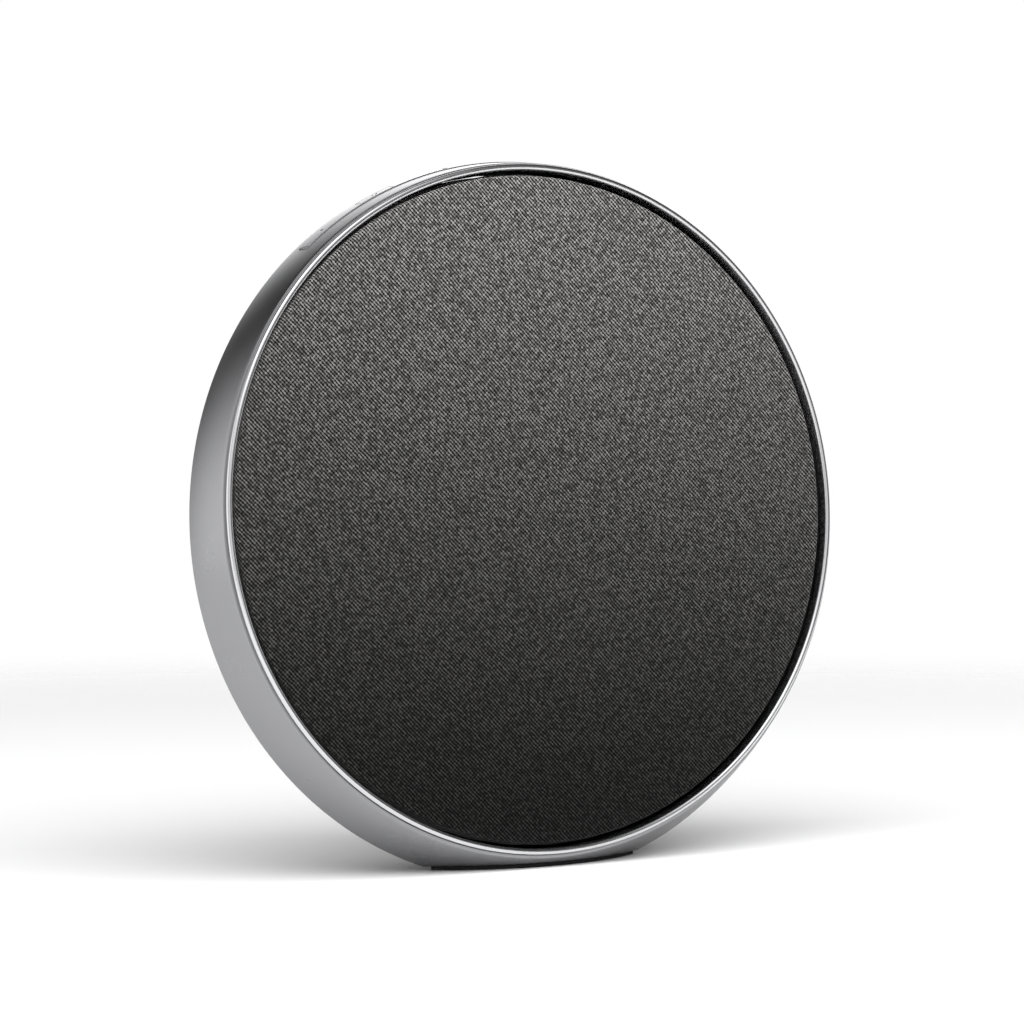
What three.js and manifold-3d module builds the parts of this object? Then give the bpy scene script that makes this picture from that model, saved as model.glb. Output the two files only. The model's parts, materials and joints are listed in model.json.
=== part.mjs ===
import * as THREE from 'three';
import { mergeVertices } from 'three/addons/utils/BufferGeometryUtils.js';
import Module from 'manifold-3d';

// A round smart speaker that stands on its edge and leans back a little.
// Millimetres, +Z up, front towards -Y. The pieces are drawn in a frame that leans with the disc:
// X to the right, Y from the front plane towards the back, Z up the face, origin at the disc's centre.

// Driving dimensions
const lean = THREE.MathUtils.degToRad(3.81);
const faceRadius = 116.7;      // outer radius of the polished bezel at the front plane
const widestRadius = 122.6;    // radius of the flared band at its rear edge
const bandDepth = 17.54;       // front plane to the widest circle
const bandFront = 1.7;          // the band starts this far behind the front plane
const bandRear = bandDepth + 1.06; // back of the band's rolled rim
const bandBulge = 0.5;          // how far the band swells out over a straight cone, halfway
const bandDrop = 3.83;         // how far the widest circle's centre sits below the face centre
const flatBelowCentre = 119.94; // height of the face centre over the band's flat underside
const footThickness = 1.0;
const footGap = 0.2;
const bodyDepth = 56;          // front plane to the rear wall
const gap = 0.3;               // clearance between neighbouring pieces
const bandWall = 1.2;
const coverWall = 2.2;

const clothRadius = 113.0;
const clothRecess = 2.5;
const clothThickness = 0.7;
const frameThickness = 1.5;

const baffleFront = 6.3;
const baffleRear = 8.5;
const baffleRadius = 113.9;

const stripHalfAngle = 42.7;   // degrees either side of the top
const stripFront = 9.6;
const stripRear = 15.0;
const stripProud = 0.3;        // the strip and its keys stand this far out of the band
const stripThickness = 1.0;
const keyHalfAngle = 3.3;
const keyInset = 0.9;          // key edge to strip edge, along the depth
const keyThickness = 1.8;
const keyPitch = 13.5;         // degrees between keys
const switchTop = 2.6;         // below the band's outer surface
const boardTop = 3.1;
const boardBottom = 3.9;

const wooferZ = -14;
const wooferHole = 46.1;
const wooferFlange = 11;
const wooferScrewRadius = 50;
const tweeterX = 40;
const tweeterZ = 62;

const radiatorOpening = 39.5;
const coverScrewRadius = 88;
const coverScrewSeat = 38.8;
const wellRadius = 4.5;

const mainBoardFront = 32;
const mainBoardThickness = 1.6;
const pocketFloor = 46.3;
const pocketZ = -78;
const pocketHalfWidth = 24;
const pocketHalfHeight = 10;
const trayWall = 2;
const powerX = -12;
const powerRadius = 3.9;       // barrel of the power jack
const resetRadius = 1.5;
const serviceX = 4;
const resetX = 16;
const heelHalfWidth = 22;
const heelCentre = 18;         // behind the face centre, in the upright frame
const heelHeight = 36;
const heelSpread = 8;          // how much wider the heel is at its top, each side
const heelOval = 0.9;

const large = 48;              // facets round the big rings
const medium = 24;
const small = 16;
const tiny = 8;

const deg = THREE.MathUtils.degToRad;
const flatHeight = footThickness + footGap;
const centreHeight = flatBelowCentre + flatHeight;

const wasm = await Module();
wasm.setup();

// The leaning frame, and the matrices between it and the upright one
const leaning = new THREE.Group();
leaning.rotation.x = -lean;
leaning.position.z = centreHeight;
leaning.updateMatrix();
const uprightToLeaning = leaning.matrix.clone().invert();

// The band's circles sink as they go back
const bandShear = new THREE.Matrix4().makeShear(0, 0, 0, -bandDrop / bandDepth, 0, 0);

// Solids ------------------------------------------------------------------------------------

function solid(geometry) {
  const bare = geometry.index ? geometry.clone() : geometry;
  bare.deleteAttribute('normal');
  bare.deleteAttribute('uv');
  const merged = mergeVertices(bare, 1e-4);
  const index = merged.index.array;
  const triangles = [];
  for (let i = 0; i < index.length; i += 3) {
    const [a, b, c] = [index[i], index[i + 1], index[i + 2]];
    if (a !== b && b !== c && c !== a) triangles.push(a, b, c);
  }
  return new wasm.Manifold(new wasm.Mesh({
    numProp: 3,
    vertProperties: new Float32Array(merged.attributes.position.array),
    triVerts: new Uint32Array(triangles),
  }));
}

function geometryOf(piece) {
  const mesh = piece.getMesh();
  const geometry = new THREE.BufferGeometry();
  geometry.setAttribute('position', new THREE.BufferAttribute(mesh.vertProperties, 3));
  geometry.setIndex(new THREE.BufferAttribute(mesh.triVerts, 1));
  geometry.computeVertexNormals();
  return geometry;
}

// Turned shapes: profile points are [radius, depth], counter-clockwise with radius to the right
function turned(profile, segments) {
  return new THREE.LatheGeometry(profile.map(([r, y]) => new THREE.Vector2(r, y)), segments);
}

function ring(profile, segments) {
  return turned([...profile, profile[0]], segments);
}

function plainRing(inner, outer, front, rear, segments) {
  return ring([[inner, front], [outer, front], [outer, rear], [inner, rear]], segments);
}

function disc(radius, front, rear, segments) {
  return turned([[0, front], [radius, front], [radius, rear], [0, rear]], segments);
}

function arcPoints(centre, radius, from, to, steps) {
  return Array.from({ length: steps + 1 }, (_, i) => {
    const angle = deg(from + (to - from) * i / steps);
    return [centre[0] + radius * Math.cos(angle), centre[1] + radius * Math.sin(angle)];
  });
}

// A flat outline in X and Z, thickened from front to rear
function plate(shape, front, rear, curveSegments = 12) {
  return new THREE.ExtrudeGeometry(shape, { depth: rear - front, bevelEnabled: false, curveSegments })
    .rotateX(Math.PI / 2)
    .translate(0, rear, 0);
}

function block(x0, x1, y0, y1, z0, z1) {
  return new THREE.BoxGeometry(x1 - x0, y1 - y0, z1 - z0)
    .translate((x0 + x1) / 2, (y0 + y1) / 2, (z0 + z1) / 2);
}

function roundedRectangle(halfX, halfZ, corner, x = 0, z = 0) {
  const shape = new THREE.Shape();
  shape.moveTo(x - halfX + corner, z - halfZ);
  shape.lineTo(x + halfX - corner, z - halfZ);
  shape.absarc(x + halfX - corner, z - halfZ + corner, corner, -Math.PI / 2, 0, false);
  shape.lineTo(x + halfX, z + halfZ - corner);
  shape.absarc(x + halfX - corner, z + halfZ - corner, corner, 0, Math.PI / 2, false);
  shape.lineTo(x - halfX + corner, z + halfZ);
  shape.absarc(x - halfX + corner, z + halfZ - corner, corner, Math.PI / 2, Math.PI, false);
  shape.lineTo(x - halfX, z - halfZ + corner);
  shape.absarc(x - halfX + corner, z - halfZ + corner, corner, Math.PI, Math.PI * 1.5, false);
  return shape;
}

function circle(radius, segments, x = 0, z = 0) {
  const points = Array.from({ length: segments }, (_, i) => {
    const angle = 2 * Math.PI * i / segments;
    return new THREE.Vector2(x + radius * Math.cos(angle), z + radius * Math.sin(angle));
  });
  return new THREE.Shape(points);
}

// A sector round the disc's axis, measured in degrees clockwise from the top
function sector(from, to, front, rear, reach = 300) {
  const shape = new THREE.Shape();
  const middle = (from + to) / 2;
  shape.moveTo(0, 0);
  for (const angle of [to, middle, from]) {
    shape.lineTo(reach * Math.sin(deg(angle)), reach * Math.cos(deg(angle)));
  }
  shape.closePath();
  return solid(plate(shape, front, rear));
}

// Everything above a height of the upright frame
function above(height) {
  const reach = 600;
  return solid(new THREE.BoxGeometry(reach, reach, reach)
    .translate(0, 0, height + reach / 2)
    .applyMatrix4(uprightToLeaning));
}

function bandRadius(y) {
  const t = y / bandDepth;
  return faceRadius + (widestRadius - faceRadius) * t + bandBulge * 4 * t * (1 - t);
}

// A layer that follows the band, between two depths below its outer surface
function bandLayer(outerInset, innerInset, front, rear) {
  return solid(ring([
    [bandRadius(front) - innerInset, front],
    [bandRadius(front) - outerInset, front],
    [bandRadius(rear) - outerInset, rear],
    [bandRadius(rear) - innerInset, rear],
  ], large).applyMatrix4(bandShear));
}

// A point on the band's outer surface and the direction out of it there
function bandPlace(angle, y) {
  const matrix = new THREE.Matrix4().makeRotationY(deg(angle));
  const shift = new THREE.Matrix4().makeTranslation(0, y, -bandDrop * y / bandDepth);
  return shift.multiply(matrix);
}

function mergeAll(first, others) {
  return others.reduce((whole, piece) => whole.add(piece), first);
}

function cutAll(first, others) {
  return others.reduce((whole, piece) => whole.subtract(piece), first);
}

// Materials ----------------------------------------------------------------------------------

function material(color, roughness, metalness = 0) {
  return new THREE.MeshStandardMaterial({ color, roughness, metalness });
}

const satinAluminium = material(0xb9bbbd, 0.35, 1);
const polishedAluminium = material(0xd8d9da, 0.12, 1);
const charcoalCloth = material(0x55565a, 0.95);
const blackPlastic = material(0x16171a, 0.55);
const matteRubber = material(0x101012, 0.85);
const cushionRubber = material(0x1c1c1e, 0.7);
const paperCone = material(0x2a2b2d, 0.8);
const copperWire = material(0xb5673a, 0.4, 1);
const zincSteel = material(0xa7abae, 0.3, 1);
const ferrite = material(0x3a3b3d, 0.5, 0.3);
const silkDome = material(0x202124, 0.6);
const boardGreen = material(0x1f5a3a, 0.5);
const heatSinkAluminium = material(0x8c8f92, 0.4, 1);
const lightPipe = material(0xe8eef2, 0.25);

function add(name, piece, finish, parent = leaning) {
  const geometry = piece instanceof THREE.BufferGeometry ? geometryOf(solid(piece)) : geometryOf(piece);
  const mesh = new THREE.Mesh(geometry, finish);
  mesh.name = name;
  parent.add(mesh);
  return mesh;
}

// Shell --------------------------------------------------------------------------------------

// Flared band: a slightly barrelled shell with a flat underside and a rolled rear rim
function outerBand() {
  const swell = (inset, depths) => depths.map((y) => [bandRadius(y) - inset, y]);
  const outside = solid(turned([
    [0, bandFront],
    ...swell(0, [bandFront, bandDepth * 0.35, bandDepth * 0.65]),
    [widestRadius, bandDepth],
    [widestRadius - 0.7, bandDepth + 0.76],
    [widestRadius - 1.7, bandRear],
    [0, bandRear],
  ], large).applyMatrix4(bandShear));
  const rimFront = bandDepth + 0.36;
  const rimInner = widestRadius - 3.7;
  const inside = solid(turned([
    [0, bandFront - 1],
    ...swell(bandWall, [bandFront - 1, bandDepth * 0.5, rimFront]),
    [rimInner, rimFront],
    [rimInner, bandRear + 1],
    [0, bandRear + 1],
  ], large).applyMatrix4(bandShear));
  const slotMargin = gap / 2;
  const slotAngle = stripHalfAngle + 0.08;
  return outside.intersect(above(flatHeight))
    .subtract(inside.intersect(above(flatHeight + bandWall)))
    .subtract(sector(-slotAngle, slotAngle, stripFront - slotMargin, stripRear + slotMargin));
}
add('outer_band', outerBand(), satinAluminium);

// Polished bezel: a rounded bead in front and a skirt that plugs into the band
const beadRadius = 1.05;
const bezelInner = faceRadius - 2 * beadRadius;
const skirtOuter = bezelInner + 0.8;
const bezelRear = baffleFront + 1.7;
add('bezel_ring', ring([
  [bezelInner, bezelRear],
  ...arcPoints([faceRadius - beadRadius, beadRadius], beadRadius, 180, 360, 6),
  [faceRadius, beadRadius + 0.3],
  [skirtOuter, beadRadius + 0.3],
  [skirtOuter, bezelRear],
], large), polishedAluminium);

// Cloth: a shallow cap stretched over the grille frame
add('grille_fabric', turned([
  [0, clothRecess],
  [clothRadius - 1, clothRecess],
  [clothRadius - 0.3, clothRecess + 0.3],
  [clothRadius, clothRecess + 1],
  [clothRadius, clothRecess + 3.5],
  [clothRadius - clothThickness, clothRecess + 3.5],
  [clothRadius - clothThickness, clothRecess + clothThickness + 0.5],
  [clothRadius - clothThickness - 0.5, clothRecess + clothThickness],
  [0, clothRecess + clothThickness],
], large), charcoalCloth);

// Grille frame: a stiff plate with openings in front of the drivers
function grilleFrame() {
  const front = clothRecess + clothThickness + gap;
  const shape = circle(clothRadius - clothThickness - 2 * gap - 0.5, large);
  shape.holes.push(circle(wooferHole + 2, medium, 0, wooferZ));
  for (const side of [-1, 1]) {
    shape.holes.push(circle(14, small, side * tweeterX, tweeterZ));
    shape.holes.push(roundedRectangle(13, 26, 6, side * 78, 0));
  }
  shape.holes.push(roundedRectangle(22, 13, 6, 0, 72));
  shape.holes.push(roundedRectangle(34, 8, 6, 0, -86));
  return plate(shape, front, front + frameThickness, 3);
}
add('grille_frame', grilleFrame(), blackPlastic);

// Baffle: the plate that everything is fixed to, with its bosses
function baffle() {
  const boardPosts = [[-37, -61], [37, -61], [-32, -84], [32, -84]];
  const boss = (x, z, radius, rear) => solid(disc(radius, baffleRear - 0.5, rear, small).translate(x, 0, z));
  const bosses = boardPosts.map(([x, z]) => boss(x, z, 2.5, mainBoardFront - gap));
  bosses.push(...coverScrewPlaces().map(([x, z]) => boss(x, z, 4, coverScrewSeat - coverWall - gap)));
  bosses.push(solid(plainRing(wooferHole, 54, baffleRear - 0.5, wooferFlange - gap, medium)
    .translate(0, 0, wooferZ)));
  const holes = [solid(disc(wooferHole, 0, 20, medium).translate(0, 0, wooferZ))];
  for (const side of [-1, 1]) {
    holes.push(solid(disc(11.5, 0, 20, small).translate(side * tweeterX, 0, tweeterZ)));
  }
  for (const [x, z] of wooferScrewPlaces()) {
    holes.push(solid(disc(1.5, baffleFront + 1, 20, tiny).translate(x, 0, z)));
  }
  for (const [x, z] of coverScrewPlaces()) {
    holes.push(solid(disc(1.8, 22, 60, tiny).translate(x, 0, z)));
  }
  return cutAll(mergeAll(solid(disc(baffleRadius, baffleFront, baffleRear, large)), bosses), holes);
}

function coverScrewPlaces() {
  return [45, 135, 225, 315].map((angle) => [
    coverScrewRadius * Math.cos(deg(angle)),
    coverScrewRadius * Math.sin(deg(angle)),
  ]);
}

function wooferScrewPlaces() {
  return [45, 135, 225, 315].map((angle) => [
    wooferScrewRadius * Math.cos(deg(angle)),
    wooferZ + wooferScrewRadius * Math.sin(deg(angle)),
  ]);
}
add('baffle', baffle(), blackPlastic);

// Rear cover: a dome with a flat underside, a heel to stand on, a socket pocket and screw wells
function rearCover() {
  const front = bandDepth - 0.64;
  const edge = widestRadius - 4.2;
  const dome = [[edge, front], [edge, 18], [117, 20.5], [112, 27], [104, 34.5], [94, 42],
    [82, 48.5], [70, 53.5], [60, bodyDepth]];
  const hollow = [[edge - coverWall, front - 1], [edge - coverWall, 18.6], [109.6, 26.2],
    [92.4, 40], [69, 51.4], [59, bodyDepth - coverWall]];
  const drop = new THREE.Matrix4().makeTranslation(0, 0, -bandDrop);
  const close = (points) => solid(turned([[0, points[0][1]], ...points, [0, points.at(-1)[1]]], large)
    .applyMatrix4(drop));
  const outside = close(dome);
  const inside = close(hollow);

  // The heel is an upright oval column that widens into the dome
  const heel = solid(new THREE.CylinderGeometry(heelHalfWidth + heelSpread, heelHalfWidth, heelHeight, medium)
    .rotateX(Math.PI / 2)
    .scale(1, heelOval, 1)
    .translate(0, heelCentre, flatHeight + heelHeight / 2)
    .applyMatrix4(uprightToLeaning))
    .intersect(solid(block(-60, 60, front + 1, 60, -140, -50)));

  const tray = solid(block(-pocketHalfWidth - trayWall - 1, pocketHalfWidth + trayWall + 1,
    pocketFloor - trayWall, bodyDepth,
    pocketZ - pocketHalfHeight - trayWall, pocketZ + pocketHalfHeight + trayWall));
  const wells = coverScrewPlaces().map(([x, z]) =>
    solid(disc(wellRadius + trayWall, coverScrewSeat - coverWall, bodyDepth, small).translate(x, 0, z)));
  const lip = solid(plainRing(radiatorOpening, radiatorOpening + 2, bodyDepth - 1, bodyDepth, medium));

  const whole = outside.add(heel).intersect(above(flatHeight))
    .subtract(inside.intersect(above(flatHeight + coverWall)))
    .add(mergeAll(tray, wells).intersect(outside))
    .add(lip);
  const overBand = above(flatHeight + bandWall + gap);
  const behind = 90;
  const cuts = [
    solid(block(-150, 150, 0, bandRear + gap, -150, 150)).subtract(overBand),
    solid(plate(roundedRectangle(pocketHalfWidth, pocketHalfHeight, 3, 0, pocketZ), pocketFloor, behind, 3)),
    solid(disc(radiatorOpening, bodyDepth - 10, behind, medium)),
    solid(disc(powerRadius + gap, 30, behind, small).translate(powerX, 0, pocketZ)),
    solid(plate(roundedRectangle(4.8, 1.95, 1.9, serviceX, pocketZ), 30, behind, 3)),
    solid(disc(resetRadius + gap, 30, behind, small).translate(resetX, 0, pocketZ)),
  ];
  for (const [x, z] of coverScrewPlaces()) {
    cuts.push(solid(disc(wellRadius, coverScrewSeat, behind, small).translate(x, 0, z)));
    cuts.push(solid(disc(1.9, 20, behind, small).translate(x, 0, z)));
  }
  return cutAll(whole, cuts);
}
add('rear_cover', rearCover(), blackPlastic);

// Controls on the crown ----------------------------------------------------------------------

const keyNames = ['key_pairing', 'key_volume_down', 'key_play_pause', 'key_volume_up', 'key_microphone_mute'];
const keyAngles = keyNames.map((_, i) => (i - (keyNames.length - 1) / 2) * keyPitch);
const keyFront = stripFront + keyInset;
const keyRear = stripRear - keyInset;
const stripMiddle = (stripFront + stripRear) / 2;
const sideAngle = THREE.MathUtils.radToDeg(gap / widestRadius);
const microphoneAngle = 38;
const lightAngle = 33.5;

function controlStrip() {
  const margin = gap / 2;
  const blank = bandLayer(-stripProud, stripThickness, stripFront + margin, stripRear - margin)
    .intersect(sector(-stripHalfAngle + 0.08, stripHalfAngle - 0.08, 0, 30));
  const cuts = keyAngles.map((angle) => sector(
    angle - keyHalfAngle - sideAngle, angle + keyHalfAngle + sideAngle, keyFront - gap, keyRear + gap));
  cuts.push(sector(lightAngle - 1.3, lightAngle + 1.3, stripMiddle - 0.9, stripMiddle + 0.9));
  for (const side of [-1, 1]) {
    cuts.push(solid(new THREE.CylinderGeometry(0.6, 0.6, 20, tiny)
      .rotateX(Math.PI / 2)
      .translate(0, 0, bandRadius(stripMiddle))
      .applyMatrix4(bandPlace(side * microphoneAngle, stripMiddle))));
  }
  return cutAll(blank, cuts);
}
add('control_strip', controlStrip(), satinAluminium);

keyNames.forEach((name, i) => {
  const angle = keyAngles[i];
  add(name, bandLayer(-stripProud, keyThickness, keyFront, keyRear)
    .intersect(sector(angle - keyHalfAngle, angle + keyHalfAngle, 0, 30)), satinAluminium);
});

add('status_light_pipe', bandLayer(-stripProud, 2.6, stripMiddle - 0.6, stripMiddle + 0.6)
  .intersect(sector(lightAngle - 1.15, lightAngle + 1.15, 0, 30)), lightPipe);

for (const [name, side] of [['microphone_left', -1], ['microphone_right', 1]]) {
  add(name, bandLayer(1.5, 2.7, stripMiddle - 1.4, stripMiddle + 1.4)
    .intersect(sector(side * microphoneAngle - 0.9, side * microphoneAngle + 0.9, 0, 30)), zincSteel);
}

// Curved board under the strip, with one tactile switch below each key
const switches = keyAngles.map((angle) =>
  bandLayer(switchTop, boardTop + 0.2, stripMiddle - 1.5, stripMiddle + 1.5)
    .intersect(sector(angle - 0.8, angle + 0.8, 0, 30)));
add('switch_board', mergeAll(bandLayer(boardTop, boardBottom, stripFront + 0.4, stripRear - 0.4)
  .intersect(sector(-41, 41, 0, 30)), switches), boardGreen);

// Woofer -------------------------------------------------------------------------------------

function wooferBasket() {
  const shell = solid(ring([[42.8, 11], [53, 11], [53, 12.5], [45.2, 12.5], [31, 24.5], [31, 26],
    [14.5, 26], [14.5, 24.5], [29.2, 24.5], [42.8, 12.9]], medium));
  const windows = [0, 60, 120, 180, 240, 300].map((angle) =>
    solid(plainRing(24, 48, 14.5, 22.5, medium)).intersect(sector(angle - 19, angle + 19, 10, 26)));
  const holes = wooferScrewPlaces().map(([x, z]) =>
    solid(disc(1.6, 5, 20, tiny).translate(x, 0, z - wooferZ)));
  return geometryOf(cutAll(shell, [...windows, ...holes])).translate(0, 0, wooferZ);
}
add('woofer_basket', wooferBasket(), blackPlastic);

function wooferPart(name, geometry, finish) {
  add(name, geometry.translate(0, 0, wooferZ), finish);
}

wooferPart('woofer_surround', ring([
  [35.2, 9.2],
  ...arcPoints([40.45, 9.6], 2.95, 188, 360, 5),
  [45.7, 10.1], [45.7, 10.7], [43.1, 10.7],
  ...arcPoints([40.45, 9.8], 2.35, 360, 180, 5),
  [35.2, 9.8],
], medium), cushionRubber);
wooferPart('woofer_cone', ring([[13.3, 20.3], [36.9, 10.1], [36.9, 10.8], [13.3, 21]], medium), paperCone);
wooferPart('woofer_dust_cap', turned([[0, 14.5], [9, 15.4], [14, 16.9], [17, 18.3],
  [16.3, 18.5], [13.6, 17.4], [8.8, 16], [0, 15.1]], medium), paperCone);
wooferPart('woofer_voice_coil', plainRing(12.5, 13, 19.8, 31, medium), copperWire);
wooferPart('woofer_spider', plainRing(13.3, 28.5, 23.5, 24.1, medium), charcoalCloth);
wooferPart('woofer_top_plate', plainRing(13.6, 21, 26.3, 29.3, medium), zincSteel);
wooferPart('woofer_magnet', plainRing(15, 21, 29.6, 35, medium), ferrite);
wooferPart('woofer_pole_piece', turned([[0, 26.3], [11.8, 26.3], [11.8, 35.3], [21, 35.3],
  [21, 38], [0, 38]], medium), zincSteel);

// Pan-head screw standing on its seat, head towards the back
function screw(headRadius, headHeight, shaftRadius, length) {
  const drive = solid(plate(roundedRectangle(headRadius * 0.5, headRadius * 0.16, 0.05),
    headHeight * 0.5, headHeight * 2, 1));
  const cross = solid(plate(roundedRectangle(headRadius * 0.16, headRadius * 0.5, 0.05),
    headHeight * 0.5, headHeight * 2, 1));
  return geometryOf(cutAll(solid(turned([
    [0, -length], [shaftRadius, -length + 0.6], [shaftRadius, 0], [headRadius, 0],
    [headRadius, headHeight * 0.55], [headRadius * 0.7, headHeight], [0, headHeight],
  ], tiny)), [drive, cross]));
}

wooferScrewPlaces().forEach(([x, z], i) => {
  add(`woofer_screw_${i + 1}`, screw(2.6, 1.8, 1.2, 4.5)
    .translate(x, wooferFlange + 1.5 + gap, z), zincSteel);
});
coverScrewPlaces().forEach(([x, z], i) => {
  add(`cover_screw_${i + 1}`, screw(3, 2, 1.5, 14).translate(x, coverScrewSeat + gap, z), zincSteel);
});

// Tweeters -----------------------------------------------------------------------------------

for (const [side, x] of [['left', -tweeterX], ['right', tweeterX]]) {
  add(`tweeter_${side}_body`, turned([[0, 11.5], [10.2, 11.5], [10.2, 8.8], [15.5, 8.8], [15.5, 10.3],
    [13, 10.3], [13, 22], [0, 22]], small).translate(x, 0, tweeterZ), blackPlastic);
  add(`tweeter_${side}_dome`, turned([[0, 7.2], [5, 7.7], [8, 9.2], [9.6, 10.3], [9.6, 10.9],
    [7.8, 9.9], [4.8, 8.4], [0, 7.9]], small).translate(x, 0, tweeterZ), silkDome);
}

// Passive radiator in the rear wall ----------------------------------------------------------

add('radiator_frame', plainRing(37.5, 46, 51, bodyDepth - coverWall - gap, medium), blackPlastic);
add('radiator_surround', ring([
  [28, 51.6], [30.4, 51.6],
  [31.2, 52.2],
  ...arcPoints([33.9, 52.2], 2.7, 180, 0, 5).slice(1),
  [37.2, 52.2], [37.2, 52.8], [36.9, 52.8],
  ...arcPoints([33.8, 52.8], 3.1, 0, 180, 5).slice(1),
  [28, 52.2],
], medium), cushionRubber);
add('radiator_plate', turned([[0, 49], [30, 49], [30, 51.3], [27.7, 51.3], [27.7, 52.5], [26.7, 53],
  [0, 53]], medium), satinAluminium);

// Electronics --------------------------------------------------------------------------------

add('main_board', plate(roundedRectangle(42, 16, 2, 0, -72), mainBoardFront,
  mainBoardFront + mainBoardThickness, 2), boardGreen);

// Finned heat sink in front of the board
function heatSink() {
  const [x0, x1, base, tip] = [-30, -4, mainBoardFront - gap, 21];
  const fins = 6;
  const finWidth = 1.2;
  const pitch = (x1 - x0 - finWidth) / (fins - 1);
  const outline = new THREE.Shape();
  outline.moveTo(x0, -base);
  outline.lineTo(x1, -base);
  for (let i = fins - 1; i >= 0; i -= 1) {
    const left = x0 + i * pitch;
    if (i < fins - 1) outline.lineTo(left + finWidth, -base + 2);
    outline.lineTo(left + finWidth, -tip);
    outline.lineTo(left, -tip);
    if (i > 0) outline.lineTo(left, -base + 2);
  }
  return new THREE.ExtrudeGeometry(outline, { depth: 20, bevelEnabled: false })
    .applyMatrix4(new THREE.Matrix4().makeScale(1, -1, -1))
    .translate(0, 0, -62);
}
add('amplifier_heat_sink', heatSink(), heatSinkAluminium);
add('wireless_module', plate(roundedRectangle(9, 7, 1, 12, -71), 29, mainBoardFront - gap, 2), zincSteel);
for (const [i, z] of [[1, -66], [2, -78]]) {
  add(`filter_capacitor_${i}`, turned([[0, 19], [4.2, 19], [4.7, 19.5], [4.7, mainBoardFront - gap],
    [0, mainBoardFront - gap]], small).translate(28, 0, z), heatSinkAluminium);
}

// Sockets and reset key behind the pocket floor
function powerJack() {
  const rear = mainBoardFront + mainBoardThickness + gap;
  const half = 4.5;
  const body = solid(block(powerX - half, powerX + half, rear, pocketFloor - trayWall - gap,
    pocketZ - half, pocketZ + half));
  const barrel = solid(disc(powerRadius, rear + 1, pocketFloor, small).translate(powerX, 0, pocketZ));
  const bore = solid(disc(3.15, rear + 2, 90, small).translate(powerX, 0, pocketZ));
  const pin = solid(disc(1, rear + 1, pocketFloor - 1.5, 12).translate(powerX, 0, pocketZ));
  return body.add(barrel).subtract(bore).add(pin);
}
add('power_jack', powerJack(), blackPlastic);

function serviceSocket() {
  const rear = mainBoardFront + mainBoardThickness + gap;
  const shell = solid(plate(roundedRectangle(4.5, 1.65, 1.6, serviceX, pocketZ), rear, pocketFloor, 3));
  const cavity = solid(plate(roundedRectangle(4.2, 1.35, 1.3, serviceX, pocketZ), rear + 4, 90, 3));
  const tongue = solid(block(serviceX - 3.3, serviceX + 3.3, rear + 3, pocketFloor - 0.8,
    pocketZ - 0.35, pocketZ + 0.35));
  return shell.subtract(cavity).add(tongue);
}
add('service_socket', serviceSocket(), zincSteel);

add('reset_button', turned([[0, 36.5], [1, 36.5], [1, 42], [2.6, 42], [2.6, 43.9], [resetRadius, 43.9],
  [resetRadius, pocketFloor - 0.2], [0, pocketFloor - 0.2]], small)
  .translate(resetX, 0, pocketZ), blackPlastic);

// Rubber feet, level in the upright frame ----------------------------------------------------

const upright = new THREE.Group();

function frontFoot() {
  const inset = 0.5;
  const depths = [bandFront + inset, bandDepth * 0.5, bandDepth];
  const outline = solid(turned([
    [0, bandFront + inset],
    ...depths.map((y) => [bandRadius(y) - inset, y]),
    [0, bandDepth],
  ], large).applyMatrix4(bandShear).applyMatrix4(leaning.matrix));
  return outline.intersect(solid(block(-150, 150, -150, 150, 0, footThickness)));
}
add('front_foot_pad', frontFoot(), matteRubber, upright);

const rearFoot = new THREE.Shape();
rearFoot.absellipse(0, heelCentre + 5.5, heelHalfWidth - 4, 11, 0, Math.PI * 2, false, 0);
add('rear_foot_pad', new THREE.ExtrudeGeometry(rearFoot,
  { depth: footThickness, bevelEnabled: false, curveSegments: small }), matteRubber, upright);

// The whole speaker, with its origin on the floor under the middle of its bounding box
const speaker = new THREE.Group();
const standing = new THREE.Group();
standing.add(leaning, upright);
speaker.add(standing);
speaker.updateMatrixWorld(true);
const extent = new THREE.Box3().setFromObject(speaker, true);
standing.position.y = -(extent.min.y + extent.max.y) / 2;
speaker.updateMatrixWorld(true);

export default speaker;
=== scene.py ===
import json
import math

import bmesh
import bpy
from mathutils import Matrix, Vector


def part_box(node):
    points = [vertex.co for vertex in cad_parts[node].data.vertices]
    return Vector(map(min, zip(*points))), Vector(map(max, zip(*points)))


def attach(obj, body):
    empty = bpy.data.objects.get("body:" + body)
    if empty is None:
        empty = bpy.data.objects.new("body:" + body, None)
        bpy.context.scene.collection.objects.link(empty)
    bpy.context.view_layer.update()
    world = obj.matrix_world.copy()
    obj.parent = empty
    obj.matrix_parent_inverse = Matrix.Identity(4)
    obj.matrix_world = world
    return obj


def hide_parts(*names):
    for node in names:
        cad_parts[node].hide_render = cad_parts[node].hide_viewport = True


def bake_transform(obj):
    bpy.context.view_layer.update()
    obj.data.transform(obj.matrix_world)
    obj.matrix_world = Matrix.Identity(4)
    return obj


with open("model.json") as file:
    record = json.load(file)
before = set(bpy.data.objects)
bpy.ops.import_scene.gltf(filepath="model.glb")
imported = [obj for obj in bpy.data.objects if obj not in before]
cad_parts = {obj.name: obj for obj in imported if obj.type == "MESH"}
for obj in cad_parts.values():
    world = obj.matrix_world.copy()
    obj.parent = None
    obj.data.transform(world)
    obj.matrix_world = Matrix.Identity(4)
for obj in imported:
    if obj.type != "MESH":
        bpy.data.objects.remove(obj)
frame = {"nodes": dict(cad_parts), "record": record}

scene = bpy.context.scene
mm = 0.001
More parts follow.
